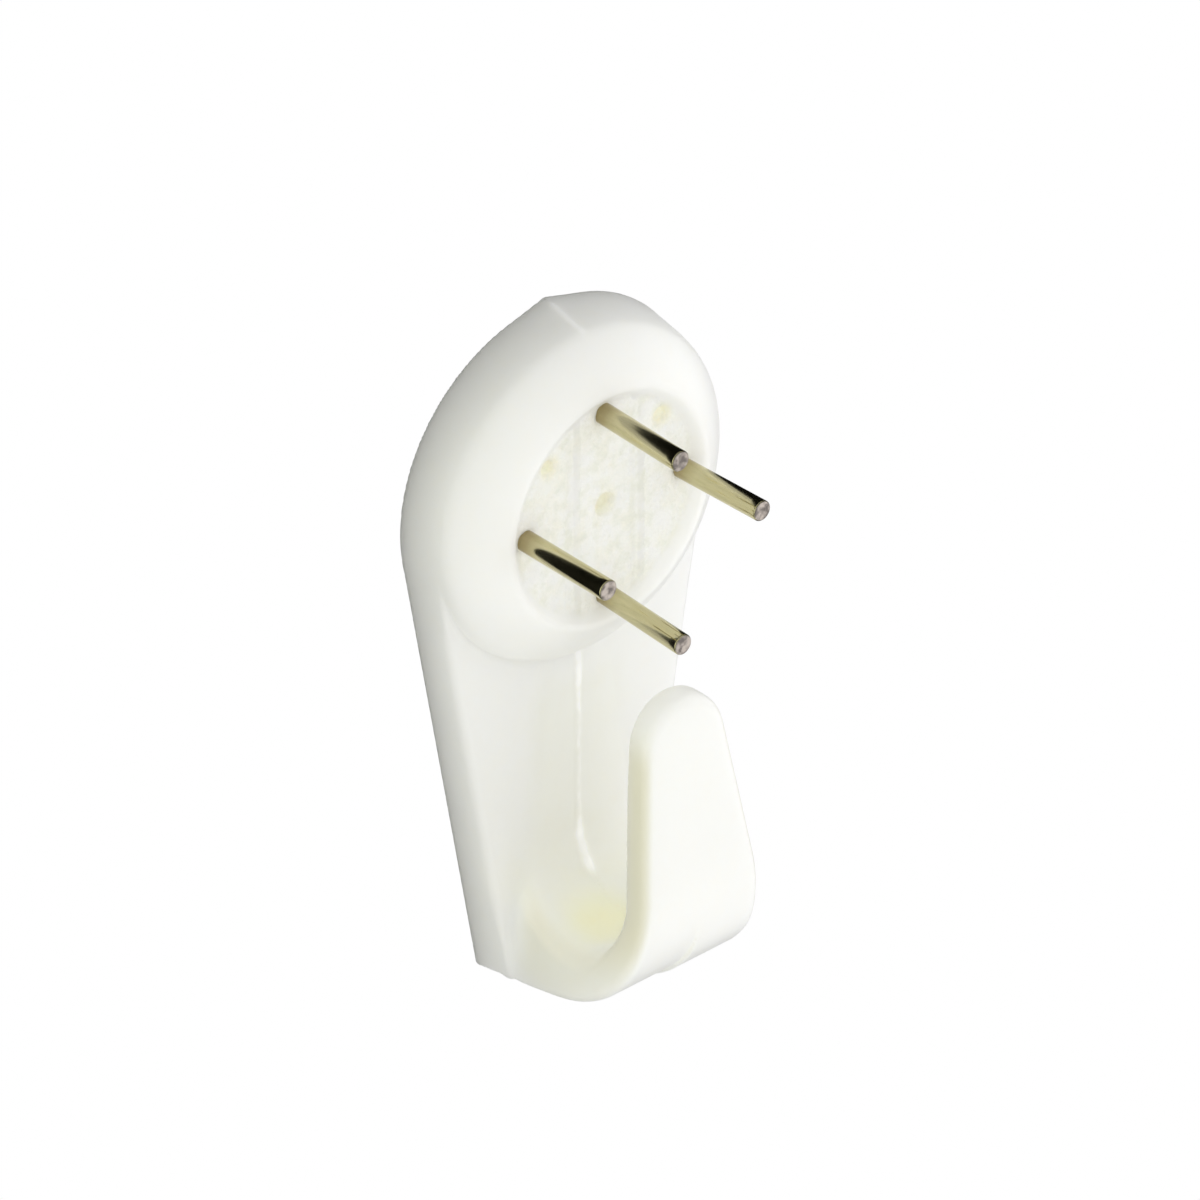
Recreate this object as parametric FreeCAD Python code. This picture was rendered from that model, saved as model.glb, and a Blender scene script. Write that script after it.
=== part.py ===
import FreeCAD
import Part
import math
import os

# Hardwall picture hook: one moulded plastic body and four steel pins.
# Millimetres. X runs to the right, Z up, and the wall is the plane y = 0.
# Depth is measured from the wall towards the room, so y = -depth.
# The origin lies on the wall, at the centre of the four pins.

# Hook
BOWL_RADIUS = 4.2         # inside of the hook
BOWL_DROP = 21.2          # centre of the bowl below the pin centre
LIP_THICKNESS = 1.75
LIP_LEAN = 8.0            # degrees that the lip leans back towards the wall
LIP_TOP_DROP = 9.4        # top of the lip below the pin centre
UNDERSIDE_RADIUS = 8.0    # outside of the hook
UNDERSIDE_RISE = 0.3      # start of that round above the bowl's end on the lip
TONGUE_TOP_RADIUS = 2.9   # rounded top of the lip, seen from the front
TONGUE_HALF_WIDTH = 4.15  # half the width of the tongue at the bowl's centre
TONGUE_SETBACK = 0.05     # foot of the tongue inside the plate's front edge
TONGUE_ROUND = 0.6        # rounding of the tongue's outer edges

# Head and back plate
HEAD_RADIUS = 10.4        # round top of the back outline
ROOF_BACK = 16.0          # slope in degrees of the two flats that meet at the crown, at the wall
ROOF_FRONT = 4.0          # the same slope at the front of the plate, where the crown fades out
FOOT_HALF_WIDTH = 5.4     # half the width of the plate at its foot
FOOT_MARGIN = 0.4         # foot of the plate below the lowest point of the hook's outside
FOOT_DROP = BOWL_DROP + UNDERSIDE_RADIUS + FOOT_MARGIN
PLATE_DEPTH = 2.5         # front face of the stem
WALL_DRAFT = 0.4          # how far the side wall leans in over the plate's depth
PLATE_ROUND = 0.5         # rounding of the plate's front edge

# Domed boss and its recess
BOSS_STEP = 0.1           # boss wall inside the plate's wall
RIM_DEPTH = 5.6           # rim of the dome, as if it were sharp
DOME_RISE = 2.9           # from the end of the boss wall to that rim
BOSS_WALL_DEPTH = RIM_DEPTH - DOME_RISE
SHOULDER_ROUND = 1.5      # rounding from the boss wall into the dome
SHOULDER_TURN = 45.0      # degrees from level where the shoulder passes into the dome
RIM_WIDTH = 3.75          # from the recess out to the widest round of the head
RIM_ROUND = 0.4
RECESS_RADIUS = HEAD_RADIUS - RIM_WIDTH
RECESS_DEPTH = 0.75       # recess floor below the sharp rim
FLOOR_DEPTH = RIM_DEPTH - RECESS_DEPTH

# Pins and the mark between them
PIN_RADIUS = 0.6
PIN_TO_RECESS_EDGE = 1.05  # from a pin's centre line to the wall of the recess
PIN_CIRCLE = RECESS_RADIUS - PIN_TO_RECESS_EDGE
PIN_STAND = 6.1           # free length in front of the recess floor
PIN_POINT_LENGTH = 1.6
PIN_POINT_INSET = 0.3     # point of the pin behind the wall face of the body
PIN_CHAMFER = 0.1         # broken edge of the struck end
PIN_CLEARANCE = 0.01      # radial gap between a pin and its hole
DIMPLE_RADIUS = 0.55      # centre mark in the recess
DIMPLE_DEPTH = 0.5

# Cutters run past the faces that they cut by this much.
OVERRUN = 2.0
# Two faces or edges closer than this are taken as the same.
NEAR = 1e-3


def place(x, depth, z):
    return FreeCAD.Vector(x, -depth, z)


def line(start, end):
    return Part.LineSegment(start, end).toShape()


def arc(start, middle, end):
    return Part.Arc(start, middle, end).toShape()


def on_circle(centre, radius, angle):
    return (centre[0] + radius * math.cos(angle), centre[1] + radius * math.sin(angle))


def tangent_angle(point, centre, radius, side):
    """Angle on a circle where the line from a point outside touches it, on side +1 or -1."""
    run = point[0] - centre[0]
    rise = point[1] - centre[1]
    return math.atan2(rise, run) + side * math.acos(radius / math.hypot(run, rise))


def arc_middle(start, heading, end):
    """Middle point of the arc that leaves start along a heading angle and reaches end."""
    run = end[0] - start[0]
    rise = end[1] - start[1]
    chord = math.hypot(run, rise)
    chord_angle = math.atan2(rise, run)
    half_turn = math.remainder(chord_angle - heading, 2 * math.pi)
    sag = chord / 2 * math.tan(half_turn / 2)
    return (
        (start[0] + end[0]) / 2 + sag * math.sin(chord_angle),
        (start[1] + end[1]) / 2 - sag * math.cos(chord_angle),
    )


def underside():
    """Outside of the hook from the side, as (depth, height).

    Gives the bowl's centre, the start of the outer round, its centre and where the foot joins it.
    """
    lean = math.radians(LIP_LEAN)
    bowl = (PLATE_DEPTH + BOWL_RADIUS, -BOWL_DROP)
    lip_root = on_circle(bowl, BOWL_RADIUS + LIP_THICKNESS, lean)
    outer_start = on_circle(lip_root, UNDERSIDE_RISE, lean + math.pi / 2)
    centre = on_circle(outer_start, -UNDERSIDE_RADIUS, lean)
    touch_angle = tangent_angle((0, -FOOT_DROP), centre, UNDERSIDE_RADIUS, 1)
    touch = on_circle(centre, UNDERSIDE_RADIUS, touch_angle)
    return bowl, outer_start, centre, touch


def foot_height(depth):
    """Height of the plate's foot, which rises a little from the wall to the hook's underside."""
    touch = underside()[3]
    return -FOOT_DROP + (touch[1] + FOOT_DROP) * depth / touch[0]


def plate_outline(inset, roof, depth):
    """Pear-shaped outline: crown of two flats, round head, straight sides and a level foot."""
    radius = HEAD_RADIUS - inset
    foot = (FOOT_HALF_WIDTH - inset, foot_height(depth))
    side_angle = tangent_angle(foot, (0, 0), radius, 1)
    roof_angle = math.pi / 2 - math.radians(roof)
    peak = place(0, depth, radius / math.sin(roof_angle))
    halves = []
    for hand in (1, -1):
        points = []
        for angle in (roof_angle, (roof_angle + side_angle) / 2, side_angle):
            x, z = on_circle((0, 0), radius, angle)
            points.append(place(hand * x, depth, z))
        points.append(place(hand * foot[0], depth, foot[1]))
        halves.append(points)
    right, left = halves
    edges = [
        line(peak, right[0]),
        arc(right[0], right[1], right[2]),
        line(right[2], right[3]),
        line(right[3], left[3]),
        line(left[3], left[2]),
        arc(left[2], left[1], left[0]),
        line(left[0], peak),
    ]
    return Part.Wire(edges)


def back_plate():
    """Flat plate behind the head and the stem, with drafted walls and a rounded front edge."""
    back = plate_outline(0, ROOF_BACK, 0)
    front = plate_outline(WALL_DRAFT, ROOF_FRONT, PLATE_DEPTH)
    plate = Part.makeLoft([back, front], True, True)
    foot = foot_height(PLATE_DEPTH)
    rounded = []
    for edge in plate.Edges:
        box = edge.BoundBox
        if abs(box.YMax + PLATE_DEPTH) < NEAR and box.ZMax > foot + NEAR:
            rounded.append(edge)
    return plate.makeFillet(PLATE_ROUND, rounded)


def boss():
    """Domed head with a shallow round recess, turned about the pins' centre line from a profile of arcs."""
    draft = WALL_DRAFT / PLATE_DEPTH
    wall_angle = math.atan(draft)
    wall_start = (HEAD_RADIUS - BOSS_STEP - draft * PLATE_DEPTH / 2, PLATE_DEPTH / 2)
    wall_end = (HEAD_RADIUS - BOSS_STEP - draft * BOSS_WALL_DEPTH, BOSS_WALL_DEPTH)
    turn = math.radians(SHOULDER_TURN)
    shoulder = on_circle(wall_end, -SHOULDER_ROUND, wall_angle)
    shoulder_middle = on_circle(shoulder, SHOULDER_ROUND, (wall_angle + turn) / 2)
    dome_start = on_circle(shoulder, SHOULDER_ROUND, turn)
    run = dome_start[0] - RECESS_RADIUS
    rise = dome_start[1] - RIM_DEPTH
    dome_radius = (run ** 2 + rise ** 2) / (2 * (run * math.cos(turn) + rise * math.sin(turn)))
    dome = on_circle(dome_start, -dome_radius, turn)
    rim_out = RECESS_RADIUS + RIM_ROUND - dome[0]
    rim_up = math.sqrt((dome_radius - RIM_ROUND) ** 2 - rim_out ** 2)
    rim_angle = math.atan2(rim_up, rim_out)
    rim = on_circle(dome, dome_radius - RIM_ROUND, rim_angle)
    dome_middle = on_circle(dome, dome_radius, (turn + rim_angle) / 2)
    dome_end = on_circle(dome, dome_radius, rim_angle)
    rim_middle = on_circle(rim, RIM_ROUND, (rim_angle + math.pi) / 2)
    rim_end = (RECESS_RADIUS, rim[1])
    inside = place(0, PLATE_DEPTH / 2, 0)
    floor_edge = place(RECESS_RADIUS, FLOOR_DEPTH, 0)
    floor_centre = place(0, FLOOR_DEPTH, 0)
    profile = Part.Wire([
        line(inside, place(*wall_start, 0)),
        line(place(*wall_start, 0), place(*wall_end, 0)),
        arc(place(*wall_end, 0), place(*shoulder_middle, 0), place(*dome_start, 0)),
        arc(place(*dome_start, 0), place(*dome_middle, 0), place(*dome_end, 0)),
        arc(place(*dome_end, 0), place(*rim_middle, 0), place(*rim_end, 0)),
        line(place(*rim_end, 0), floor_edge),
        line(floor_edge, floor_centre),
        line(floor_centre, inside),
    ])
    turned = Part.Face(profile).revolve(place(0, 0, 0), FreeCAD.Vector(0, 1, 0), 360)
    return Part.Solid(turned.Shells[0])


def hook_profile():
    """Side profile of the hook: from the stem round the bowl, up the lip and back under the foot."""
    up = math.radians(90 + LIP_LEAN)
    bowl, outer_start, outer_centre, touch = underside()
    lip_start = on_circle(bowl, BOWL_RADIUS, math.radians(LIP_LEAN))
    reach = BOWL_DROP - LIP_TOP_DROP + OVERRUN
    lip_end = on_circle(lip_start, reach, up)
    outer_end = on_circle(outer_start, reach, up)
    bowl_bottom = on_circle(bowl, BOWL_RADIUS, math.radians(LIP_LEAN - 180) / 2)
    touch_angle = tangent_angle((0, -FOOT_DROP), outer_centre, UNDERSIDE_RADIUS, 1)
    middle_angle = (math.radians(LIP_LEAN) + touch_angle) / 2
    outer_middle = on_circle(outer_centre, UNDERSIDE_RADIUS, middle_angle)
    heel = place(0, 0, -FOOT_DROP)
    inside = place(0, 0, -BOWL_DROP)
    stem = place(0, PLATE_DEPTH, -BOWL_DROP)
    return Part.Wire([
        line(inside, stem),
        arc(stem, place(0, *bowl_bottom), place(0, *lip_start)),
        line(place(0, *lip_start), place(0, *lip_end)),
        line(place(0, *lip_end), place(0, *outer_end)),
        line(place(0, *outer_end), place(0, *outer_start)),
        arc(place(0, *outer_start), place(0, *outer_middle), place(0, *touch)),
        line(place(0, *touch), heel),
        line(heel, inside),
    ])


def tongue():
    """Front outline of the hook, as a bar through it: wide at the foot, narrow at the lip's round top."""
    reach = PLATE_DEPTH + 2 * BOWL_RADIUS + LIP_THICKNESS + OVERRUN
    foot = (FOOT_HALF_WIDTH - WALL_DRAFT - TONGUE_SETBACK, -FOOT_DROP)
    below = (foot[0], foot[1] - OVERRUN)
    root = (TONGUE_HALF_WIDTH, -BOWL_DROP)
    top_centre = (0, -LIP_TOP_DROP - TONGUE_TOP_RADIUS)
    neck_angle = tangent_angle(root, top_centre, TONGUE_TOP_RADIUS, 1)
    neck = on_circle(top_centre, TONGUE_TOP_RADIUS, neck_angle)
    flare = arc_middle(root, neck_angle - math.pi / 2, foot)
    top = place(0, 0, -LIP_TOP_DROP)
    sides = []
    for hand in (1, -1):
        sides.append([place(hand * x, 0, z) for x, z in (neck, root, flare, foot, below)])
    right, left = sides
    outline = Part.Wire([
        arc(left[0], top, right[0]),
        line(right[0], right[1]),
        arc(right[1], right[2], right[3]),
        line(right[3], right[4]),
        line(right[4], left[4]),
        line(left[4], left[3]),
        arc(left[3], left[2], left[1]),
        line(left[1], left[0]),
    ])
    return Part.Face(outline).extrude(place(0, reach, 0))


def hook():
    """J-shaped hook: the side profile cut to the tongue's outline, with its outer edges rounded."""
    width = 2 * FOOT_HALF_WIDTH
    slab = Part.Face(hook_profile()).extrude(FreeCAD.Vector(2 * width, 0, 0))
    slab.translate(FreeCAD.Vector(-width, 0, 0))
    solid = slab.common(tongue())
    outer_start, outer_centre = underside()[1:3]
    lean = math.radians(LIP_LEAN)
    outer_edges = []
    for edge in solid.Edges:
        across = edge.BoundBox.YLength + edge.BoundBox.ZLength < NEAR
        middle = edge.valueAt((edge.FirstParameter + edge.LastParameter) / 2)
        depth = -middle.y
        if across or depth < PLATE_DEPTH:
            continue
        run = depth - outer_start[0]
        rise = middle.z - outer_start[1]
        from_lip = run * math.cos(lean) + rise * math.sin(lean)
        from_underside = math.hypot(depth - outer_centre[0], middle.z - outer_centre[1]) - UNDERSIDE_RADIUS
        if abs(from_lip if rise > 0 else from_underside) < NEAR:
            outer_edges.append(edge)
    return solid.makeFillet(TONGUE_ROUND, outer_edges)


def pin_places():
    """Name and centre of each pin, seen from the front."""
    places = {}
    for name, angle in (("right_pin", 0), ("top_pin", 90), ("left_pin", 180), ("bottom_pin", 270)):
        places[name] = on_circle((0, 0), PIN_CIRCLE, math.radians(angle))
    return places


def pin(centre):
    """Plain round pin with a conical point behind and a flat end with a broken edge in front."""
    end = FLOOR_DEPTH + PIN_STAND
    shoulder = PIN_POINT_INSET + PIN_POINT_LENGTH
    x, z = centre
    toward_room = FreeCAD.Vector(0, -1, 0)
    shank = Part.makeCylinder(PIN_RADIUS, end - shoulder, place(x, shoulder, z), toward_room)
    struck_edge = [edge for edge in shank.Edges if abs(edge.BoundBox.YMax + end) < NEAR]
    shank = shank.makeChamfer(PIN_CHAMFER, struck_edge)
    point = Part.makeCone(0, PIN_RADIUS, PIN_POINT_LENGTH, place(x, PIN_POINT_INSET, z), toward_room)
    return shank.fuse(point).removeSplitter()


def hook_body():
    """The moulding: plate, boss and hook in one piece, with the pin holes and the centre mark cut in."""
    body = back_plate().fuse([boss(), hook()]).removeSplitter()
    toward_room = FreeCAD.Vector(0, -1, 0)
    bore = PIN_RADIUS + PIN_CLEARANCE
    for x, z in pin_places().values():
        drill = Part.makeCylinder(bore, RIM_DEPTH + 2 * OVERRUN, place(x, -OVERRUN, z), toward_room)
        body = body.cut(drill)
    mark = Part.makeCylinder(DIMPLE_RADIUS, OVERRUN, place(0, FLOOR_DEPTH - DIMPLE_DEPTH, 0), toward_room)
    return body.cut(mark)


os.makedirs("parts", exist_ok=True)
nodes = {"hook_body": hook_body()}
for pin_name, pin_centre in pin_places().items():
    nodes[pin_name] = pin(pin_centre)
for node_name, shape in nodes.items():
    print(node_name, shape.isValid(), len(shape.Solids), round(shape.Volume, 2), shape.BoundBox)
    shape.exportStep("parts/" + node_name + ".step")
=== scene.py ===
# %% [markdown]
# # Picture hook
# A small moulded hook for hard walls. One piece of ivory plastic holds four steel pins, which are
# hammered into the wall through the round head. A picture wire or ring hangs in the J at the foot.
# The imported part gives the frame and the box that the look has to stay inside: X runs to the right,
# Z up, and the wall is the plane y = 0 behind the hook. Blender works in metres.

# %% Load the part
import math

import bpy
import numpy as np
from mathutils import Matrix, Vector


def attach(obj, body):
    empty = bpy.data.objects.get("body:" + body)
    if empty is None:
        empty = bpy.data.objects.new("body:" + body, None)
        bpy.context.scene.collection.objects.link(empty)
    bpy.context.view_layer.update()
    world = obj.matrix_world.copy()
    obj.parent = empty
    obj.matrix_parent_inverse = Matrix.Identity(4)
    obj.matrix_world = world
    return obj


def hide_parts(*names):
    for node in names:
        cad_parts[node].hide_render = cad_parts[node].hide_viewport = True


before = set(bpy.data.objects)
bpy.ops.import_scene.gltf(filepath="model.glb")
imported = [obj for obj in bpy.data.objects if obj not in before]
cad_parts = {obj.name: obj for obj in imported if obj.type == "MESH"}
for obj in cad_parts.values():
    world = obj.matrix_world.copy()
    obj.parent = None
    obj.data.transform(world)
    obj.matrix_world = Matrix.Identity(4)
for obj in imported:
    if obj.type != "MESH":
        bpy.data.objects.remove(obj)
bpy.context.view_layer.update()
print("pieces:", sorted(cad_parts))

# %% [markdown]
# ## Rounded joins
# A moulding has no separate faces: every corner is softened where the steel of the mould was rounded.
# Bevels and booleans on a mesh would leave seams at such joins. So the body is described as a field,
# the distance to its skin in millimetres, negative inside the plastic. Fields of simple forms join
# with a corner of a set radius, as a toolmaker would break an edge.

# %% Rounded joins
MM = 0.001


def round_max(a, b, radius):
    """The part that two forms share, with the outer corner rounded."""
    a = a + radius
    b = b + radius
    corner = np.hypot(np.maximum(a, 0), np.maximum(b, 0))
    return np.minimum(np.maximum(a, b), 0) + corner - radius


def round_min(a, b, radius):
    """Two forms joined, with the inner corner filled to a radius."""
    return -round_max(-a, -b, radius)


def fade(value, low, high):
    """0 below low, 1 above high and a soft step between them."""
    share = np.clip((value - low) / (high - low), 0, 1)
    return share * share * (3 - 2 * share)


print("a square corner rounded to 1 mm is", round(float(round_max(0.0, 0.0, 1.0)), 3), "mm off the skin")

# %% [markdown]
# ## Side profile of the J
# From the side the hook is a J: a half-round bowl inside, a larger round underneath, and a lip that
# leans back a little. The underside runs straight on into the foot of the plate, so its circle comes
# first. It could be drawn as a curve, but centres and angles can be used in the field as they are.
# A point of this profile is (depth from the wall, height).

# %% Side profile
PLATE_DEPTH = 2.5
FOOT_DROP = 29.6
BOWL_RADIUS = 4.2
BOWL_DROP = 21.2
LIP_THICKNESS = 1.75
LIP_LEAN = math.radians(8.0)
UNDERSIDE_RADIUS = 8.0
UNDERSIDE_RISE = 0.3


def turn_point(centre, radius, angle):
    return (centre[0] + radius * math.cos(angle), centre[1] + radius * math.sin(angle))


def touch_angle(point, centre, radius):
    """Where a line from a point touches a circle."""
    run = point[0] - centre[0]
    rise = point[1] - centre[1]
    return math.atan2(rise, run) + math.acos(radius / math.hypot(run, rise))


def from_line(u, v, through, angle):
    """Distance past a line, along a normal that points at an angle."""
    return (u - through[0]) * math.cos(angle) + (v - through[1]) * math.sin(angle)


bowl = (PLATE_DEPTH + BOWL_RADIUS, -BOWL_DROP)
lip_start = turn_point(bowl, BOWL_RADIUS, LIP_LEAN)
lip_root = turn_point(bowl, BOWL_RADIUS + LIP_THICKNESS, LIP_LEAN)
outer_start = turn_point(lip_root, UNDERSIDE_RISE, LIP_LEAN + math.pi / 2)
outer = turn_point(outer_start, -UNDERSIDE_RADIUS, LIP_LEAN)
foot_touch_angle = touch_angle((0, -FOOT_DROP), outer, UNDERSIDE_RADIUS)
foot_touch = turn_point(outer, UNDERSIDE_RADIUS, foot_touch_angle)
foot_slope = (foot_touch[1] + FOOT_DROP) / foot_touch[0]
print("the foot rises", round(foot_slope, 3), "mm per mm of depth")

# %% [markdown]
# ## Back plate
# The plate that lies on the wall is pear-shaped: a round head with two almost flat slopes that meet
# at a faint crown, straight sides and a narrow foot. Its wall leans in so that it leaves the mould.
# An outline pushed out and tapered would do, but the crown fades towards the front, so the outline
# is worked out anew at each depth. The front edge is round along the stem and nearly crisp elsewhere.

# %% Back plate
HEAD_RADIUS = 10.4
ROOF_BACK = math.radians(16.0)
ROOF_FRONT = math.radians(4.0)
FOOT_HALF_WIDTH = 5.4
WALL_DRAFT = 0.4
STEM_EDGE = 0.5
CRISP_EDGE = 0.12
FOOT_CORNER = 0.35


def back_plate(x, d, z):
    share = np.clip(d / PLATE_DEPTH, 0, 1)
    inset = WALL_DRAFT * share
    radius = HEAD_RADIUS - inset
    side = np.abs(x)
    foot_x = FOOT_HALF_WIDTH - inset
    foot_z = -FOOT_DROP + foot_slope * d
    side_angle = np.arctan2(foot_z, foot_x) + np.arccos(radius / np.hypot(foot_x, foot_z))
    roof_angle = math.pi / 2 - (ROOF_BACK + (ROOF_FRONT - ROOF_BACK) * share)
    angle = np.arctan2(z, side)
    straight = side * np.cos(side_angle) + z * np.sin(side_angle) - radius
    roof = side * np.cos(roof_angle) + z * np.sin(roof_angle) - radius
    outline = np.where(angle > roof_angle, roof, np.hypot(x, z) - radius)
    outline = np.where(angle < side_angle, straight, outline)
    outline = round_max(outline, foot_z - z, FOOT_CORNER + (CRISP_EDGE - FOOT_CORNER) * share)
    on_stem = fade(z, -28.5, -23.0) * (1 - fade(z, -7.0, -4.0))
    return round_max(outline, d - PLATE_DEPTH, CRISP_EDGE + (STEM_EDGE - CRISP_EDGE) * on_stem)


print("plate:", 2 * HEAD_RADIUS, "mm wide at the head and", 2 * FOOT_HALF_WIDTH, "mm at the foot")

# %% [markdown]
# ## Domed boss
# The head rises in a low dome to a rounded rim round a shallow recess, where the pins stand. A lathe
# or Blender's Screw modifier would turn this form from its half section. Here the half section is
# part of the field, so that the dome can flow into the plate. It is a wall, a round shoulder and a
# flat arc that each touch the next without a corner.

# %% Domed boss
BOSS_STEP = 0.02
RIM_DEPTH = 5.6
WALL_END = 2.7
SHOULDER_ROUND = 1.5
SHOULDER_TURN = math.radians(45)
RIM_ROUND = 0.6
RECESS_RADIUS = 6.65
RECESS_FILLET = 0.45
FLOOR_DEPTH = 4.85

draft = WALL_DRAFT / PLATE_DEPTH
draft_angle = math.atan(draft)
wall_end = (HEAD_RADIUS - BOSS_STEP - draft * WALL_END, WALL_END)
shoulder = turn_point(wall_end, -SHOULDER_ROUND, draft_angle)
dome_start = turn_point(shoulder, SHOULDER_ROUND, SHOULDER_TURN)
dome_run = dome_start[0] - RECESS_RADIUS
dome_rise = dome_start[1] - RIM_DEPTH
dome_radius = (dome_run ** 2 + dome_rise ** 2) / (math.sqrt(2) * (dome_run + dome_rise))
dome = turn_point(dome_start, -dome_radius, SHOULDER_TURN)


def boss(x, d, z):
    reach = np.hypot(x, z)
    wall = from_line(reach, d, wall_end, draft_angle)
    round_shoulder = np.hypot(reach - shoulder[0], d - shoulder[1]) - SHOULDER_ROUND
    top = np.hypot(reach - dome[0], d - dome[1]) - dome_radius
    angle = np.arctan2(d - shoulder[1], reach - shoulder[0])
    skin = np.where(angle < draft_angle, wall, np.where(angle < SHOULDER_TURN, round_shoulder, top))
    skin = np.where(reach < dome[0], d - dome[1] - dome_radius, skin)
    recess_form = round_min(RECESS_RADIUS - reach, d - FLOOR_DEPTH, RECESS_FILLET)
    return round_max(skin, recess_form, RIM_ROUND)


print("dome arc radius:", round(dome_radius, 2), "mm")

# %% [markdown]
# ## Outline of the tongue
# From the front the hook is a tongue that narrows upwards to the round top of the lip and flares a
# little towards the foot. The J and the tongue are two plain outlines, and the hook is what they
# share, just as it would be cut from a bar with two saw cuts.

# %% Tongue
LIP_TOP_DROP = 9.4
TONGUE_TOP_RADIUS = 2.9
TONGUE_HALF_WIDTH = 4.15
TONGUE_FOOT = 4.95

tongue_root = (TONGUE_HALF_WIDTH, -BOWL_DROP)
tongue_top = (0, -LIP_TOP_DROP - TONGUE_TOP_RADIUS)
neck_angle = touch_angle(tongue_root, tongue_top, TONGUE_TOP_RADIUS)
flare_run = TONGUE_FOOT - tongue_root[0]
flare_fall = -FOOT_DROP - tongue_root[1]
flare_lean = flare_run * math.cos(neck_angle) + flare_fall * math.sin(neck_angle)
flare_radius = (flare_run ** 2 + flare_fall ** 2) / (-2 * flare_lean)
flare = turn_point(tongue_root, -flare_radius, neck_angle)


def tongue_outline(x, z):
    side = np.abs(x)
    straight = from_line(side, z, tongue_root, neck_angle)
    flared = np.hypot(side - flare[0], z - flare[1]) - flare_radius
    round_top = np.hypot(x, z - tongue_top[1]) - TONGUE_TOP_RADIUS
    tongue = np.where(z < tongue_root[1], flared, straight)
    return np.where(np.arctan2(z - tongue_top[1], side) > neck_angle, round_top, tongue)


print("flare radius:", round(flare_radius, 1), "mm")

# %% [markdown]
# ## J-shaped hook
# The outer edges of the lip are well rounded. The inner ones are nearly crisp on the lip and soft in
# the bowl. On the real hook one half of the mould had slipped a little, so half of the underside
# stands proud. A bevel has one width along its edge, but in the field a radius can change on the way.

# %% Hook
LIP_ROUND = 0.6
INNER_CRISP = 0.14
INNER_SOFT = 1.24
SLIP = 0.2


def outer_side(x, d, z):
    angle = np.arctan2(z - outer[1], d - outer[0])
    slipped = SLIP * fade(x, -0.06, 0.06) * fade(angle, -1.35, -1.0) * (1 - fade(angle, -0.6, -0.15))
    underside = np.hypot(d - outer[0], z - outer[1]) - UNDERSIDE_RADIUS - slipped
    lip_face = from_line(d, z, outer_start, LIP_LEAN)
    foot = from_line(d, z, foot_touch, foot_touch_angle)
    outside = np.where((angle > foot_touch_angle) & (angle < LIP_LEAN), underside, lip_face)
    outside = np.where(angle <= foot_touch_angle, foot, outside)
    return np.where(angle > math.pi / 2, np.maximum(lip_face, foot), outside)


def inner_side(d, z):
    bowl_skin = np.hypot(d - bowl[0], z - bowl[1]) - BOWL_RADIUS
    above = from_line(d, z, bowl, LIP_LEAN + math.pi / 2) > 0
    channel = np.maximum(PLATE_DEPTH - d, from_line(d, z, lip_start, LIP_LEAN))
    return np.where(np.where(d > bowl[0], above, z > bowl[1]), channel, bowl_skin)


def hook(x, d, z):
    outer_round = CRISP_EDGE + (LIP_ROUND - CRISP_EDGE) * fade(d, 3.0, 6.5)
    inner_round = INNER_SOFT + (INNER_CRISP - INNER_SOFT) * fade(d, 8.2, 10.4)
    solid = round_max(outer_side(x, d, z), tongue_outline(x, z), outer_round)
    return round_max(solid, -inner_side(d, z), inner_round)


print("lip:", LIP_THICKNESS, "mm thick, leaning back by", round(math.degrees(LIP_LEAN), 1), "degrees")

# %% [markdown]
# ## Flash and marks of the mould
# Where the halves of the mould met, a thin, uneven line of flash runs down the stem into the bowl and
# over the crown. Ejector rods left three small round marks in the recess. All of it is real relief on
# the moulding, so it is in the field and not only in a bump, and shows in the mesh from any side.

# %% Flash and marks
RECESS_MARKS = (
    {"across": 0.0, "up": 0.0, "radius": 0.62, "depth": 0.5, "edge": 0.22},
    {"across": -4.05, "up": 3.9, "radius": 0.42, "depth": 0.3, "edge": 0.15},
    {"across": 4.05, "up": 3.9, "radius": 0.5, "depth": 0.25, "edge": 0.2},
)
MARK_FLOOR_ROUND = 0.12
STEM_FLASH = 0.25
CROWN_FLASH = 0.19


def flash_height(x, d, z):
    ragged = 0.6 + 0.25 * np.sin(2.1 * z + 0.7) + 0.15 * np.sin(5.3 * z + 2.0)
    on_stem = fade(-z, 9.5, 11.0) * (1 - fade(d, 5.0, 6.5)) * (1 - fade(-z, 23.4, 24.4))
    on_crown = fade(z, 8.5, 9.2) * fade(d, 0.5, 1.0) * (1 - fade(d, 2.6, 3.4))
    width = 0.15 + 0.1 * (1 - fade(-z, 11.0, 15.0)) + 0.12 * fade(-z, 20.5, 22.0)
    return np.exp(-(x / width) ** 2) * ragged * (STEM_FLASH * on_stem + CROWN_FLASH * on_crown)


def recess_mark(x, d, z, place):
    wall = np.hypot(x - place["across"], z - place["up"]) - place["radius"]
    return round_max(wall, FLOOR_DEPTH - place["depth"] - d, MARK_FLOOR_ROUND)


print("marks in the recess:", len(RECESS_MARKS))

# %% [markdown]
# ## The whole body
# Plate, boss and hook run into each other with small fillets, which fade out at the head's wall so
# that its line stays clean. The pin holes go right through. The back edge is broken all round, so
# that no burr keeps the plate off the wall.

# %% Body field
PIN_RADIUS = 0.6
PIN_CIRCLE = 5.6
HOLE_GAP = 0.03
TIGHT_FILLET = 0.02
BOSS_FILLET = 0.45
HOOK_FILLET = 0.35
BOWL_SLIP = 0.1
BACK_EDGE = 0.25

pin_centres = [turn_point((0, 0), PIN_CIRCLE, quarter * math.pi / 2) for quarter in range(4)]


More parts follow.
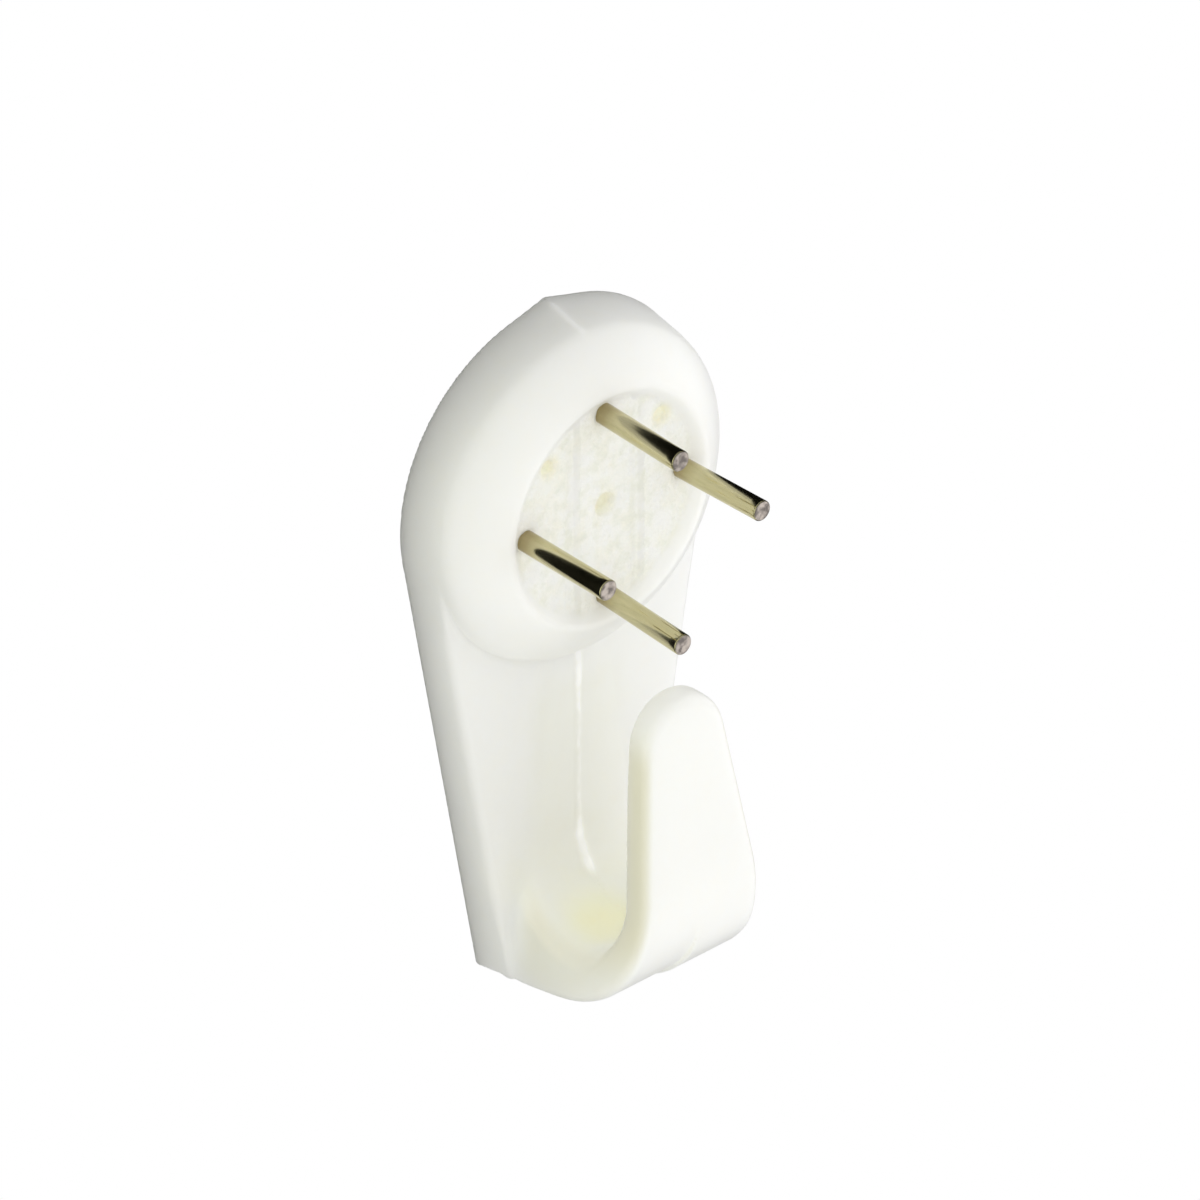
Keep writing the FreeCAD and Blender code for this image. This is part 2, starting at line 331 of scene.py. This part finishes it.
def body(x, d, z):
    on_stem = np.clip((-z - 7.5) / 2.0, 0, 1) * np.clip((d - 1.6) / 0.6, 0, 1)
    skin = round_min(back_plate(x, d, z), boss(x, d, z), TIGHT_FILLET + BOSS_FILLET * on_stem)
    skin = round_min(skin, hook(x, d, z), TIGHT_FILLET + HOOK_FILLET * on_stem)
    in_bowl = fade(-z, 21.5, 23.5) * (1 - fade(d, 6.5, 8.0)) * fade(d, 2.2, 3.0)
    skin = skin - flash_height(x, d, z) - BOWL_SLIP * fade(x, -0.07, 0.07) * in_bowl
    for across, up in pin_centres:
        hole = np.hypot(x - across, z - up) - PIN_RADIUS - HOLE_GAP
        skin = np.maximum(skin, -hole)
    for place in RECESS_MARKS:
        skin = round_max(skin, -recess_mark(x, d, z, place), place["edge"])
    return round_max(skin, -d, BACK_EDGE)


print("pin holes at", [(round(across, 2), round(up, 2)) for across, up in pin_centres])

# %% [markdown]
# ## Points on the skin
# Blender has no mesh made straight from such a field. Metaballs or a voxel remesh come near, but they
# blur fine edges. So a fine grid is laid through the field, and every cell that the skin passes
# through gets one point, the mean of the places where the skin cuts the cell's edges.

# %% Grid and points
CELL = 0.165
GRID_LOW = np.array([-10.9, -0.5, -30.2])
GRID_HIGH = np.array([10.9, 13.1, 11.4])
UNIT = np.eye(3, dtype=int)


def grid_values(field, low, high, cell):
    counts = np.ceil((high - low) / cell).astype(int) + 1
    axes = [low[k] + cell * np.arange(counts[k]) for k in range(3)]
    return field(*np.meshgrid(*axes, indexing="ij"))


def skin_points(values, low, cell):
    inside = values < 0
    shape = tuple(np.array(values.shape) - 1)
    corners = [(i, j, k) for i in (0, 1) for j in (0, 1) for k in (0, 1)]
    held = np.zeros(shape, dtype=int)
    for corner in corners:
        held += inside[tuple(slice(c, c + n) for c, n in zip(corner, shape))]
    mixed = (held > 0) & (held < 8)
    index = np.full(shape, -1)
    index[mixed] = np.arange(mixed.sum())
    cells = np.argwhere(mixed)
    total = np.zeros((len(cells), 3))
    hits = np.zeros(len(cells))
    for axis in range(3):
        for corner in corners:
            if corner[axis]:
                continue
            a = values[tuple((cells + corner).T)]
            b = values[tuple((cells + corner + UNIT[axis]).T)]
            crossing = (a < 0) != (b < 0)
            share = np.where(crossing, a / np.where(crossing, a - b, 1), 0)
            cut = cells + np.array(corner) + share[:, None] * UNIT[axis]
            total += np.where(crossing[:, None], cut, 0)
            hits += crossing
    return low + cell * total / hits[:, None], index


values = grid_values(body, GRID_LOW, GRID_HIGH, CELL)
points, index = skin_points(values, GRID_LOW, CELL)
print("points on the skin:", len(points))

# %% [markdown]
# ## Faces between the points
# Wherever an edge of the grid passes through the skin, the four cells round that edge give a face of
# four corners. Its corners run one way or the other, so that every face looks out of the plastic.

# %% Faces
def skin_faces(inside, index):
    faces = []
    for axis in range(3):
        u = UNIT[(axis + 1) % 3]
        v = UNIT[(axis + 2) % 3]
        start = inside[tuple(slice(None, -1) if k == axis else slice(None) for k in range(3))]
        end = inside[tuple(slice(1, None) if k == axis else slice(None) for k in range(3))]
        for leaving, order in ((start & ~end, 1), (~start & end, -1)):
            edge = np.argwhere(leaving)
            quad = [edge - u - v, edge - v, edge, edge - u][::order]
            faces.append(np.stack([index[tuple(corner.T)] for corner in quad], axis=1))
    return np.concatenate(faces)


faces = skin_faces(values < 0, index)
print("triangles:", 2 * len(faces))

# %% [markdown]
# ## Settle and even out
# The first points lie a little off the skin. Each is moved down the slope of the field until it is on
# it. Then points are drawn to the middle of their faces and settled again. A Smooth modifier would
# shrink the small edges, but here the field always pulls the points back to the true form.

# %% Settle and even out
def settle(points, field, rounds, reach):
    for _ in range(rounds):
        value = field(*points.T)
        slope = np.empty_like(points)
        for axis in range(3):
            nudge = reach * UNIT[axis]
            slope[:, axis] = (field(*(points + nudge).T) - field(*(points - nudge).T)) / (2 * reach)
        length = np.maximum((slope ** 2).sum(1), 0.25)
        points = points - (value / length)[:, None] * slope
    return points


def even_out(points, faces, field, rounds):
    for _ in range(rounds):
        middle = points[faces].mean(axis=1)
        total = np.zeros_like(points)
        count = np.zeros(len(points))
        for column in range(4):
            np.add.at(total, faces[:, column], middle)
            np.add.at(count, faces[:, column], 1)
        points = settle(0.5 * points + 0.5 * total / count[:, None], field, 1, 0.01)
    return points


points = settle(points, body, 3, 0.02)
points = even_out(points, faces, body, 2)
print("furthest point from the skin:", round(float(np.abs(body(*points.T)).max()), 4), "mm")

# %% [markdown]
# ## The moulding as an object
# The mesh takes the place of the CAD body and moves with it. Its points are held inside the CAD's
# box, so that rounding in the last digit can't stand proud. Depth becomes minus y, towards the room.

# %% Moulded hook
BOX_LOW = [-10.4, 0.0, -29.6]
BOX_HIGH = [10.4, 12.62, 10.81]

points = np.clip(points, BOX_LOW, BOX_HIGH)
hook_mesh = bpy.data.meshes.new("moulded_hook")
hook_mesh.from_pydata((points * np.array([1, -1, 1]) * MM).tolist(), [], faces.tolist())
hook_mesh.validate()
hook_mesh.shade_smooth()
moulded_hook = bpy.data.objects.new("moulded_hook", hook_mesh)
bpy.context.scene.collection.objects.link(moulded_hook)
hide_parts("hook_body")
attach(moulded_hook, "root")
print("moulded hook:", len(hook_mesh.vertices), "points,", len(hook_mesh.polygons), "faces")

# %% [markdown]
# ## Marks for the finish
# The finish changes from place to place: the recess floor is rough and mottled, a painted pool of
# yellow light lies in the bowl, the sides of the hook carry painted shade, and the flash is a painted
# white highlight. Painted masks would need an image, so each point of the mesh carries a share from 0
# to 1 for each of these places instead.

# %% Recess and bowl
# Centre and strength of the painted pool of light in the bowl.
LIGHT_POOL = (-1.5, 6.5, -25.2)
LIGHT_POOL_LOW = 0.25
LIGHT_POOL_HIGH = 0.75


def mark(mesh, name, shares):
    layer = mesh.attributes.new(name, "FLOAT", "POINT")
    layer.data.foreach_set("value", np.ascontiguousarray(shares, dtype=np.float32))
    print("mark", name, "covers", int((shares > 0.05).sum()), "points")


px, pd, pz = points.T
in_recess = (1 - fade(np.hypot(px, pz), 6.0, 6.6)) * fade(pd, 3.9, 4.5)
mark(hook_mesh, "recess", in_recess)
off_bowl = np.abs(np.hypot(pd - bowl[0], pz - bowl[1]) - BOWL_RADIUS)
from_light_pool = np.sqrt((px - LIGHT_POOL[0]) ** 2 + (pd - LIGHT_POOL[1]) ** 2 + (pz - LIGHT_POOL[2]) ** 2)
in_bowl = (1 - fade(off_bowl, 0.2, 1.6)) * (1 - fade(pz, -24.0, -20.0))
# The bowl mark is a painted pool of light, strongest at its centre.
mark(hook_mesh, "bowl", in_bowl * (LIGHT_POOL_LOW + LIGHT_POOL_HIGH * (1 - fade(from_light_pool, 0.7, 3.3))))
in_mark = np.zeros(len(points))
for place in RECESS_MARKS:
    from_mark = np.hypot(px - place["across"], pz - place["up"])
    in_mark = np.maximum(in_mark, 1 - fade(from_mark, 0.4, 0.95))
mark(hook_mesh, "dimple", in_mark * in_recess)

# %% [markdown]
# ## Sides of the hook and the flash
# The sides carry painted shade, found by where the skin faces, so the darker tone turns softly over
# the rounded edges. The middle of the stem has a trace of the same tone, a painted shadow cast by the lip.
# The white line is a painted highlight that follows the flash, and is as broken and uneven as the
# flash is.

# %% Sides and flash
UNDERSIDE_SHARE = 0.3
STEM_SHARE = 0.14
CROWN_LINE = 0.45

normals = np.empty(3 * len(hook_mesh.vertices), dtype=np.float32)
hook_mesh.vertex_normals.foreach_get("vector", normals)
sideways = np.abs(normals.reshape(-1, 3)[:, 0])
# Painted shade on the sides of the hook, set by which way the skin faces.
side_shade = fade(sideways, 0.25, 0.95) * fade(pd, 2.5, 4.5) * fade(-pz, 9.5, 13.0)
side_shade = side_shade * (UNDERSIDE_SHARE + (1 - UNDERSIDE_SHARE) * fade(pz, -27.0, -22.0))
# Painted shadow that the lip casts on the middle of the stem.
mid_stem_shadow = fade(-pz, 10.5, 13.0) * (1 - fade(-pz, 20.5, 23.5)) * (1 - fade(np.abs(px), 2.4, 4.2))
mid_stem_shadow = mid_stem_shadow * fade(pd, 2.2, 2.4) * (1 - fade(pd, 2.9, 3.4))
mark(hook_mesh, "painted_side_shade", np.maximum(side_shade, STEM_SHARE * mid_stem_shadow))
# The white line along the flash is a painted highlight.
ragged = 0.65 + 0.2 * np.sin(3.1 * pz + 0.4) + 0.15 * np.sin(7.7 * pz + 1.0)
line_width = 0.09 + 0.09 * (1 - fade(-pz, 11.0, 15.0)) + 0.15 * fade(-pz, 20.5, 22.0)
line_share = ragged * (0.5 + 0.6 * (1 - fade(-pz, 12.0, 15.0)) + 0.6 * fade(-pz, 20.0, 22.0))
stem_line = line_share * fade(-pz, 9.0, 11.0) * (1 - fade(-pz, 23.4, 24.4)) * (1 - fade(pd, 5.0, 6.5))
crown_line = CROWN_LINE * fade(pz, 8.5, 9.2) * fade(pd, 0.3, 0.8) * (1 - fade(pd, 2.6, 3.4))
on_line = stem_line * fade(pd, 2.2, 2.4) + crown_line
mark(hook_mesh, "flash", np.exp(-(px / line_width) ** 2) * on_line)

# %% [markdown]
# ## Shader helpers
# A finish is a chain of shader nodes that ends in the Principled BSDF. Adding and wiring them by hand
# takes many lines, so each common step gets a small helper that returns its result. A value that is
# the same all over the surface is set on the BSDF's own socket.

# %% Shader helpers
def fill_sockets(tree, shader, sockets):
    for socket, value in sockets.items():
        if isinstance(value, bpy.types.NodeSocket):
            tree.links.new(value, shader.inputs[socket])
        else:
            shader.inputs[socket].default_value = value


def shader_step(tree, kind, sockets, **settings):
    made = tree.nodes.new(kind)
    for setting, value in settings.items():
        setattr(made, setting, value)
    fill_sockets(tree, made, sockets)
    return made


def blank_material(name):
    material = bpy.data.materials.new(name)
    material.use_nodes = True
    return material, material.node_tree, material.node_tree.nodes["Principled BSDF"]


def read_mark(tree, name):
    return shader_step(tree, "ShaderNodeAttribute", {}, attribute_name=name).outputs["Fac"]


def noise(tree, spot, scale, detail, roughness=0.5):
    sockets = {"Vector": spot, "Scale": scale, "Detail": detail, "Roughness": roughness}
    return shader_step(tree, "ShaderNodeTexNoise", sockets).outputs["Fac"]


def sums(tree, operation, *terms):
    return shader_step(tree, "ShaderNodeMath", dict(enumerate(terms)), operation=operation).outputs[0]


def spread(tree, value, low, high, first, last, kind="LINEAR"):
    sockets = {"Value": value, "From Min": low, "From Max": high, "To Min": first, "To Max": last}
    return shader_step(tree, "ShaderNodeMapRange", sockets, interpolation_type=kind).outputs[0]


def mix_colour(tree, share, first, second):
    sockets = {0: share, 6: first, 7: second}
    return shader_step(tree, "ShaderNodeMix", sockets, data_type="RGBA").outputs[2]


def bump(tree, height, strength, distance, **under):
    sockets = {"Strength": strength, "Distance": distance, "Height": height}
    return shader_step(tree, "ShaderNodeBump", {**sockets, **under}).outputs[0]


print("shader helpers ready")

# %% [markdown]
# ## Ivory plastic
# The body is unpainted, slightly translucent plastic. Plain diffuse white looks like plaster, so all
# of its colour is given to subsurface scattering, and light spreads a few millimetres inside. The tone
# is mixed in layers: ivory, warm patches, a painted pool of yellow light in the bowl, painted shade on
# the hook sides, a painted white highlight on the flash, and a grey mottle on the recess floor. The thin
# flash and the bowl, which light reaches through the lip, are given a little painted glow.

# %% Ivory plastic
IVORY = (0.955, 0.96, 0.915, 1)
WARM_IVORY = (1.0, 0.88, 0.655, 1)
# SHADED_IVORY is the colour of the painted shade on the hook's sides.
SHADED_IVORY = (0.72, 0.695, 0.575, 1)
HIGHLIGHT_WHITE = (0.99, 0.99, 0.985, 1)
MOTTLE_GREY = (0.81, 0.82, 0.75, 1)
PAINTED_GLOW_TINT = (1.0, 1.0, 0.96, 1)

ivory, tree, plastic = blank_material("ivory_plastic")
spot = shader_step(tree, "ShaderNodeTexCoord", {}).outputs["Object"]
recess = read_mark(tree, "recess")
bowl_light_share = read_mark(tree, "bowl")
flash_highlight_share = read_mark(tree, "flash")
clouds = noise(tree, spot, 700.0, 6.0, 0.65)
patchy = spread(tree, clouds, 0.42, 0.68, 0.0, 1.0)
warm_patches = sums(tree, "MULTIPLY", patchy, sums(tree, "MULTIPLY_ADD", recess, 0.16, 0.08))
# The bowl share adds a painted pool of yellow light.
warm_bowl = sums(tree, "MULTIPLY_ADD", bowl_light_share, 0.75, warm_patches)
warm_share = sums(tree, "MULTIPLY_ADD", read_mark(tree, "dimple"), 0.5, warm_bowl)
tone = mix_colour(tree, warm_share, IVORY, WARM_IVORY)
# Painted shade on the hook's sides and on the middle of the stem.
tone = mix_colour(tree, read_mark(tree, "painted_side_shade"), tone, SHADED_IVORY)
# Painted highlight along the flash.
tone = mix_colour(tree, flash_highlight_share, tone, HIGHLIGHT_WHITE)
speckle = spread(tree, noise(tree, spot, 1300.0, 4.0, 0.6), 0.46, 0.68, 0.0, 0.7)
tone = mix_colour(tree, sums(tree, "MULTIPLY", speckle, recess), tone, MOTTLE_GREY)
# Painted glow in the bowl and along the flash.
bowl_painted_glow = sums(tree, "MULTIPLY", bowl_light_share, 0.06)
glow = sums(tree, "MULTIPLY_ADD", flash_highlight_share, 0.2, bowl_painted_glow)
fill_sockets(tree, plastic, {"Base Color": tone, "Emission Color": PAINTED_GLOW_TINT, "Emission Strength": glow})
plastic.inputs["Subsurface Weight"].default_value = 1.0
plastic.inputs["Subsurface Radius"].default_value = (1.0, 1.0, 0.95)
plastic.inputs["Subsurface Scale"].default_value = 0.0045
plastic.inputs["IOR"].default_value = 1.5
ivory.cycles.emission_sampling = "NONE"
hook_mesh.materials.append(ivory)
print("ivory plastic:", len(tree.nodes), "shader nodes")

# %% [markdown]
# ## Grain of the plastic
# The skin copies the mould: a slow ripple, a fine grain and a soft gloss that varies with the grain.
# The recess floor is coarser, with two faint upright lines from the tool that cut it. These are far
# smaller than the mesh's faces, so three bumps are stacked, each one on the normal of the last.

# %% Grain
TOOL_LINE = 2.3 * MM
TOOL_LINE_WIDTH = 0.6 * MM

grain = noise(tree, spot, 2600.0, 3.0, 0.55)
ripple = noise(tree, spot, 300.0, 2.0)
spot_x = shader_step(tree, "ShaderNodeSeparateXYZ", {0: spot}).outputs["X"]
off_line = sums(tree, "SUBTRACT", sums(tree, "ABSOLUTE", spot_x), TOOL_LINE)
tool_line = spread(tree, sums(tree, "ABSOLUTE", off_line), 0.0, TOOL_LINE_WIDTH, 0.8, 0.0, "SMOOTHSTEP")
rough_floor = sums(tree, "MULTIPLY", sums(tree, "ADD", clouds, tool_line), recess)
skin_bump = bump(tree, ripple, 0.35, 0.12 * MM)
skin_bump = bump(tree, grain, 0.25, 0.03 * MM, Normal=skin_bump)
skin_bump = bump(tree, rough_floor, 0.9, 0.4 * MM, Normal=skin_bump)
sheen = spread(tree, grain, 0.0, 1.0, 0.3, 0.5)
fill_sockets(tree, plastic, {"Normal": skin_bump, "Roughness": sheen})
print("with grain:", len(tree.nodes), "shader nodes")

# %% [markdown]
# ## Pins
# The pins are hardened wire, cut to length, with a short point towards the wall. The struck end is
# flat, slightly hollow, with a broken edge. A cylinder with a bevel has too few rings for the shares
# below, so each pin is turned from a section of (radius, depth). No two stand quite straight: each
# leans its own way outside the plastic, and the lean grows from the recess floor to the tip.

# %% Pin section
PIN_TIP = FLOOR_DEPTH + 6.1
PIN_EDGE = 0.12
PIN_SIDES = 64
RING_STEP = 0.5

pin_section = [(0.0, 0.3), (0.2, 0.83), (0.4, 1.37), (0.57, 1.82)]
pin_section += [(PIN_RADIUS, depth) for depth in (1.92, 3.4, 4.45, 4.75, FLOOR_DEPTH)]
pin_section += [(PIN_RADIUS, FLOOR_DEPTH + RING_STEP * ring) for ring in range(1, 12)]
edge_middle = (PIN_RADIUS - PIN_EDGE, PIN_TIP - PIN_EDGE)
pin_section += [turn_point(edge_middle, PIN_EDGE, part * math.pi / 12) for part in range(7)]
pin_section += [(0.3, PIN_TIP), (0.12, PIN_TIP - 0.01), (0.0, PIN_TIP - 0.012)]
print("pin section:", len(pin_section), "points")

# %% [markdown]
# ## Turning a pin
# Every ring of the section becomes a ring of points, and the two ends close on one point each. The
# marks tell the finish which part is the struck end, which is browner where the pin enters the
# plastic, and which is covered by it.

# %% Turned pin
def turned_pin(name, centre, lean):
    corners = []
    for reach, depth in pin_section[1:-1]:
        out = max(depth - FLOOR_DEPTH, 0) / (PIN_TIP - FLOOR_DEPTH)
        middle = (centre[0] + lean[0] * out, centre[1] + lean[1] * out)
        for number in range(PIN_SIDES):
            x, z = turn_point(middle, reach, 2 * math.pi * number / PIN_SIDES)
            corners.append((x, -depth, z))
    last = (len(pin_section) - 3) * PIN_SIDES
    back_end = len(corners)
    front_end = back_end + 1
    corners.append((centre[0], -pin_section[0][1], centre[1]))
    corners.append((centre[0] + lean[0], -pin_section[-1][1], centre[1] + lean[1]))
    sides = []
    for number in range(PIN_SIDES):
        after = (number + 1) % PIN_SIDES
        for low in range(0, last, PIN_SIDES):
            high = low + PIN_SIDES
            sides.append((low + number, low + after, high + after, high + number))
        sides.append((back_end, after, number))
        sides.append((front_end, last + number, last + after))
    mesh = bpy.data.meshes.new(name)
    mesh.from_pydata((np.array(corners) * MM).tolist(), [], sides)
    mesh.shade_smooth()
    depth = -np.array(corners)[:, 1]
    in_plastic = 1 - fade(depth, FLOOR_DEPTH - 0.4, FLOOR_DEPTH - 0.1)
    mark(mesh, "struck_end", fade(depth, PIN_TIP - 0.06, PIN_TIP - 0.012))
    mark(mesh, "browner_base", 1 - fade(depth, FLOOR_DEPTH + 0.1, FLOOR_DEPTH + 1.6))
    mark(mesh, "covered", fade(depth, 1.95, 2.6) * in_plastic)
    return mesh


print("pins stand", round(PIN_TIP - FLOOR_DEPTH, 1), "mm out of the recess floor")

# %% [markdown]
# ## Plated steel
# The wire has a pale straw plating with streaks along it from drawing, browner near the plastic. The
# struck face is bare, blotchy and pitted. One metal colour would look like a chrome rod, so the marks
# mix these tones, and noise stretched along the pin gives the streaks. The real plastic grips the pin
# and no light is lost there. Here a thin gap lies between, so the covered part is given a painted glow
# that gives that light back.

# %% Plated steel
STRAW = (0.66, 0.61, 0.37, 1)
DARK_STRAW = (0.52, 0.48, 0.29, 1)
BASE_BROWN = (0.3, 0.23, 0.11, 1)
BARE_STEEL = (0.52, 0.46, 0.42, 1)
BLOTCH = (0.17, 0.15, 0.14, 1)
STEEL_PAINTED_GLOW = (1.0, 1.0, 0.95, 1)

straw, tree, metal = blank_material("straw_plated_steel")
spot = shader_step(tree, "ShaderNodeTexCoord", {}).outputs["Object"]
drawn_out = shader_step(tree, "ShaderNodeMapping", {"Vector": spot, "Scale": (1.0, 0.06, 1.0)}).outputs[0]
struck = read_mark(tree, "struck_end")
streaks = noise(tree, drawn_out, 5200.0, 4.0)
tone = mix_colour(tree, streaks, STRAW, DARK_STRAW)
tone = mix_colour(tree, sums(tree, "MULTIPLY", read_mark(tree, "browner_base"), 0.75), tone, BASE_BROWN)
blotches = spread(tree, noise(tree, spot, 2400.0, 3.0), 0.4, 0.62, 0.0, 1.0)
tone = mix_colour(tree, struck, tone, mix_colour(tree, blotches, BARE_STEEL, BLOTCH))
polish = spread(tree, streaks, 0.0, 1.0, 0.07, 0.19)
dulled = sums(tree, "MULTIPLY_ADD", struck, 0.3, polish)
pits = sums(tree, "MULTIPLY", noise(tree, spot, 6500.0, 3.0), struck)
wire_bump = bump(tree, streaks, 0.12, 0.02 * MM)
wire_bump = bump(tree, pits, 0.9, 0.08 * MM, Normal=wire_bump)
# Painted glow on the covered part of the pin, for the light lost in the gap.
glow = sums(tree, "MULTIPLY", read_mark(tree, "covered"), 0.75)
fill_sockets(tree, metal, {"Base Color": tone, "Roughness": dulled, "Normal": wire_bump})
fill_sockets(tree, metal, {"Emission Color": STEEL_PAINTED_GLOW, "Emission Strength": glow})
metal.inputs["Metallic"].default_value = 1.0
straw.cycles.emission_sampling = "NONE"
print("plated steel:", len(tree.nodes), "shader nodes")

# %% [markdown]
# ## Set the pins
# Each pin takes the place of its CAD pin. The leans are at most half a millimetre at the tip, given as
# (to the right, up), and follow how the pins of this hook stand.

# %% Set the pins
PIN_LEANS = {"right": (0.17, -0.07), "top": (-0.14, -0.19), "left": (0.32, -0.42), "bottom": (0.07, -0.47)}

for (side, lean), centre in zip(PIN_LEANS.items(), pin_centres):
    pin_mesh = turned_pin("struck_pin_" + side, centre, lean)
    pin_mesh.materials.append(straw)
    struck_pin = bpy.data.objects.new("struck_pin_" + side, pin_mesh)
    bpy.context.scene.collection.objects.link(struck_pin)
    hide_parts(side + "_pin")
    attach(struck_pin, "root")
    print(struck_pin.name, "has", len(pin_mesh.polygons), "faces")

# %% [markdown]
# ## Floor
# The hook is shown over plain white paper that fills the view. A lit diffuse floor would turn grey
# near the object and needs long renders. So the paper gives its own even white and takes no part in
# the light: it is there for the camera alone.

# %% Floor
FLOOR_REACH = 3.0
FLOOR_HEIGHT = -0.09
BLACK = (0, 0, 0, 1)
WHITE = (1, 1, 1, 1)


def stage_finish(name, colour, glow):
    finish, tree, paint = blank_material(name)
    fill_sockets(tree, paint, {"Base Color": colour, "Roughness": 1.0, "Specular IOR Level": 0.0})
    fill_sockets(tree, paint, {"Emission Color": WHITE, "Emission Strength": glow})
    return finish


def stage_piece(name, corners, panels, finish, unseen_by):
    mesh = bpy.data.meshes.new(name)
    mesh.from_pydata(corners, [], panels)
    mesh.materials.append(finish)
    piece = bpy.data.objects.new(name, mesh)
    bpy.context.scene.collection.objects.link(piece)
    for rays in unseen_by:
        setattr(piece, "visible_" + rays, False)
    print(name, "is not seen by", ", ".join(unseen_by), "rays")


white_paper = stage_finish("white_paper", BLACK, 1.0)
square = ((-1, -1), (1, -1), (1, 1), (-1, 1))
floor_corners = [(FLOOR_REACH * x, FLOOR_REACH * y, FLOOR_HEIGHT) for x, y in square]
stage_piece("floor", floor_corners, [(0, 1, 2, 3)], white_paper, ("diffuse", "glossy", "shadow"))

# %% [markdown]
# ## Dark cloth
# Polished pins show what stands round them. Behind the hook there is nothing but dark, which draws a
# black streak along each pin. A dark world would take light from the plastic too, so the dark is a
# cloth behind the wall plane that only reflections see.

# %% Dark cloth
CLOTH_REACH = 0.6
CLOTH_BEHIND = 0.05
VELVET = (0.004, 0.004, 0.004, 1)
REFLECTED_ONLY = ("camera", "diffuse", "shadow", "transmission")

black_velvet = stage_finish("black_velvet", VELVET, 0.0)
cloth_corners = [(CLOTH_REACH * x, CLOTH_BEHIND, CLOTH_REACH * z) for x, z in square]
stage_piece("dark_cloth", cloth_corners, [(0, 1, 2, 3)], black_velvet, REFLECTED_ONLY)

# %% [markdown]
# ## Cards round the outline
# The side walls are darker towards the back, as if the hook lay on a board, and near their feet the
# pins show something white. Two flat cards with a hole in the hook's outline do this: a grey one that
# keeps light from the walls and a white one that only reflections see. They are rings, because a
# whole board would hide the back of the hook in other views.

# %% Cards
RING_SIDES = 120
RING_MIDDLE = np.array([0.0, -9.0])
RING_GAP = 0.05
STEEPEST = 0.1
CARD_GREY = (0.03, 0.03, 0.02, 1)

turns = 2 * math.pi * np.arange(RING_SIDES) / RING_SIDES
spokes = np.stack([np.cos(turns), np.sin(turns)], axis=1)
support = ((points[:, [0, 2]] - RING_MIDDLE) @ spokes.T).max(axis=0)
alike = spokes @ spokes.T
spoke_reach = np.where(alike > STEEPEST, support / np.maximum(alike, STEEPEST), np.inf).min(axis=1)


def ring_card(name, width, behind, finish, unseen_by):
    corners = []
    for edge in (RING_GAP, width):
        ring = RING_MIDDLE + spokes * (spoke_reach + edge)[:, None]
        corners += [(MM * x, MM * behind, MM * z) for x, z in ring]
    panels = []
    for number in range(RING_SIDES):
        after = (number + 1) % RING_SIDES
        panels.append((number, after, RING_SIDES + after, RING_SIDES + number))
    stage_piece(name, corners, panels, finish, unseen_by)


ring_card("rest_board", 7.0, 0.2, stage_finish("grey_card", CARD_GREY, 0.0), ("camera", "glossy"))
ring_card("white_mount", 5.8, 0.3, stage_finish("mount_card", BLACK, 0.65), REFLECTED_ONLY)

# %% [markdown]
# ## Light
# The light is that of a photographer's tent: broad and soft from the right, the left, above and below
# in front, with a trace from behind for the other views. Area lamps would show as shapes in the pins.
# So the light is the world itself, a sum of wide lobes, each brightest along its own axis.

# %% Light
TENT = (
    ("right", (1.0, -0.1, 0.1), 3.0, 1.5, (1.0, 1.0, 0.99, 1)),
    ("above", (0.0, -0.7, 0.71), 3.0, 1.15, (1.0, 1.0, 0.96, 1)),
    ("below", (0.1, -0.75, -0.65), 3.0, 1.5, (1.0, 1.0, 0.99, 1)),
    ("left", (-1.0, 0.05, 0.05), 3.0, 1.43, (0.985, 1.0, 0.89, 1)),
    ("behind", (0.0, 1.0, 0.3), 2.0, 0.22, (1.0, 1.0, 0.9, 1)),
)

world = bpy.data.worlds.new("light_tent")
bpy.context.scene.world = world
world.use_nodes = True
tree = world.node_tree
tree.nodes.remove(tree.nodes["Background"])
outlook = shader_step(tree, "ShaderNodeTexCoord", {}).outputs["Generated"]
tent_light = None
for side, axis, narrowness, strength, tint in TENT:
    ends = {0: outlook, 1: Vector(axis).normalized()}
    toward = shader_step(tree, "ShaderNodeVectorMath", ends, operation="DOT_PRODUCT").outputs["Value"]
    lobe = sums(tree, "POWER", sums(tree, "MAXIMUM", toward, 0.0), narrowness)
    wall = {"Color": tint, "Strength": sums(tree, "MULTIPLY", lobe, strength)}
    lit = shader_step(tree, "ShaderNodeBackground", wall).outputs[0]
    if tent_light is not None:
        lit = shader_step(tree, "ShaderNodeAddShader", {0: tent_light, 1: lit}).outputs[0]
    tent_light = lit
    print("light from", side, "at strength", strength)
tree.links.new(tent_light, tree.nodes["World Output"].inputs["Surface"])

# %% [markdown]
# ## Camera
# The hook is seen from its left, from above and with a long lens, so that it hardly narrows with
# distance. The angles were worked out from the pins, the round head and the edges of the stem. The
# camera is set by its three axes and its aim, which needs no constraint or empty to look at.

# %% Camera
AZIMUTH = math.radians(-42.1)
ELEVATION = math.radians(31.9)
ROLL = math.radians(-0.2)
DISTANCE = 0.5
LENS = 279.9
AIM_RIGHT = 0.002953
AIM_DOWN = 0.006994

level = math.cos(ELEVATION)
back = Vector((math.sin(AZIMUTH) * level, -math.cos(AZIMUTH) * level, math.sin(ELEVATION)))
right = Vector((math.cos(AZIMUTH), math.sin(AZIMUTH), 0))
up = back.cross(right)
aim = right * AIM_RIGHT - up * AIM_DOWN
eye = bpy.data.cameras.new("camera")
eye.sensor_width = 36
eye.lens = LENS
eye.clip_start = 0.01
camera = bpy.data.objects.new("camera", eye)
axes = Matrix((right, up, back)).transposed().to_4x4()
camera.matrix_world = Matrix.Translation(aim + back * DISTANCE) @ axes @ Matrix.Rotation(ROLL, 4, "Z")
bpy.context.scene.collection.objects.link(camera)
bpy.context.scene.camera = camera
bpy.context.scene.view_settings.view_transform = "Standard"
print("camera at", [round(v, 3) for v in camera.matrix_world.translation])
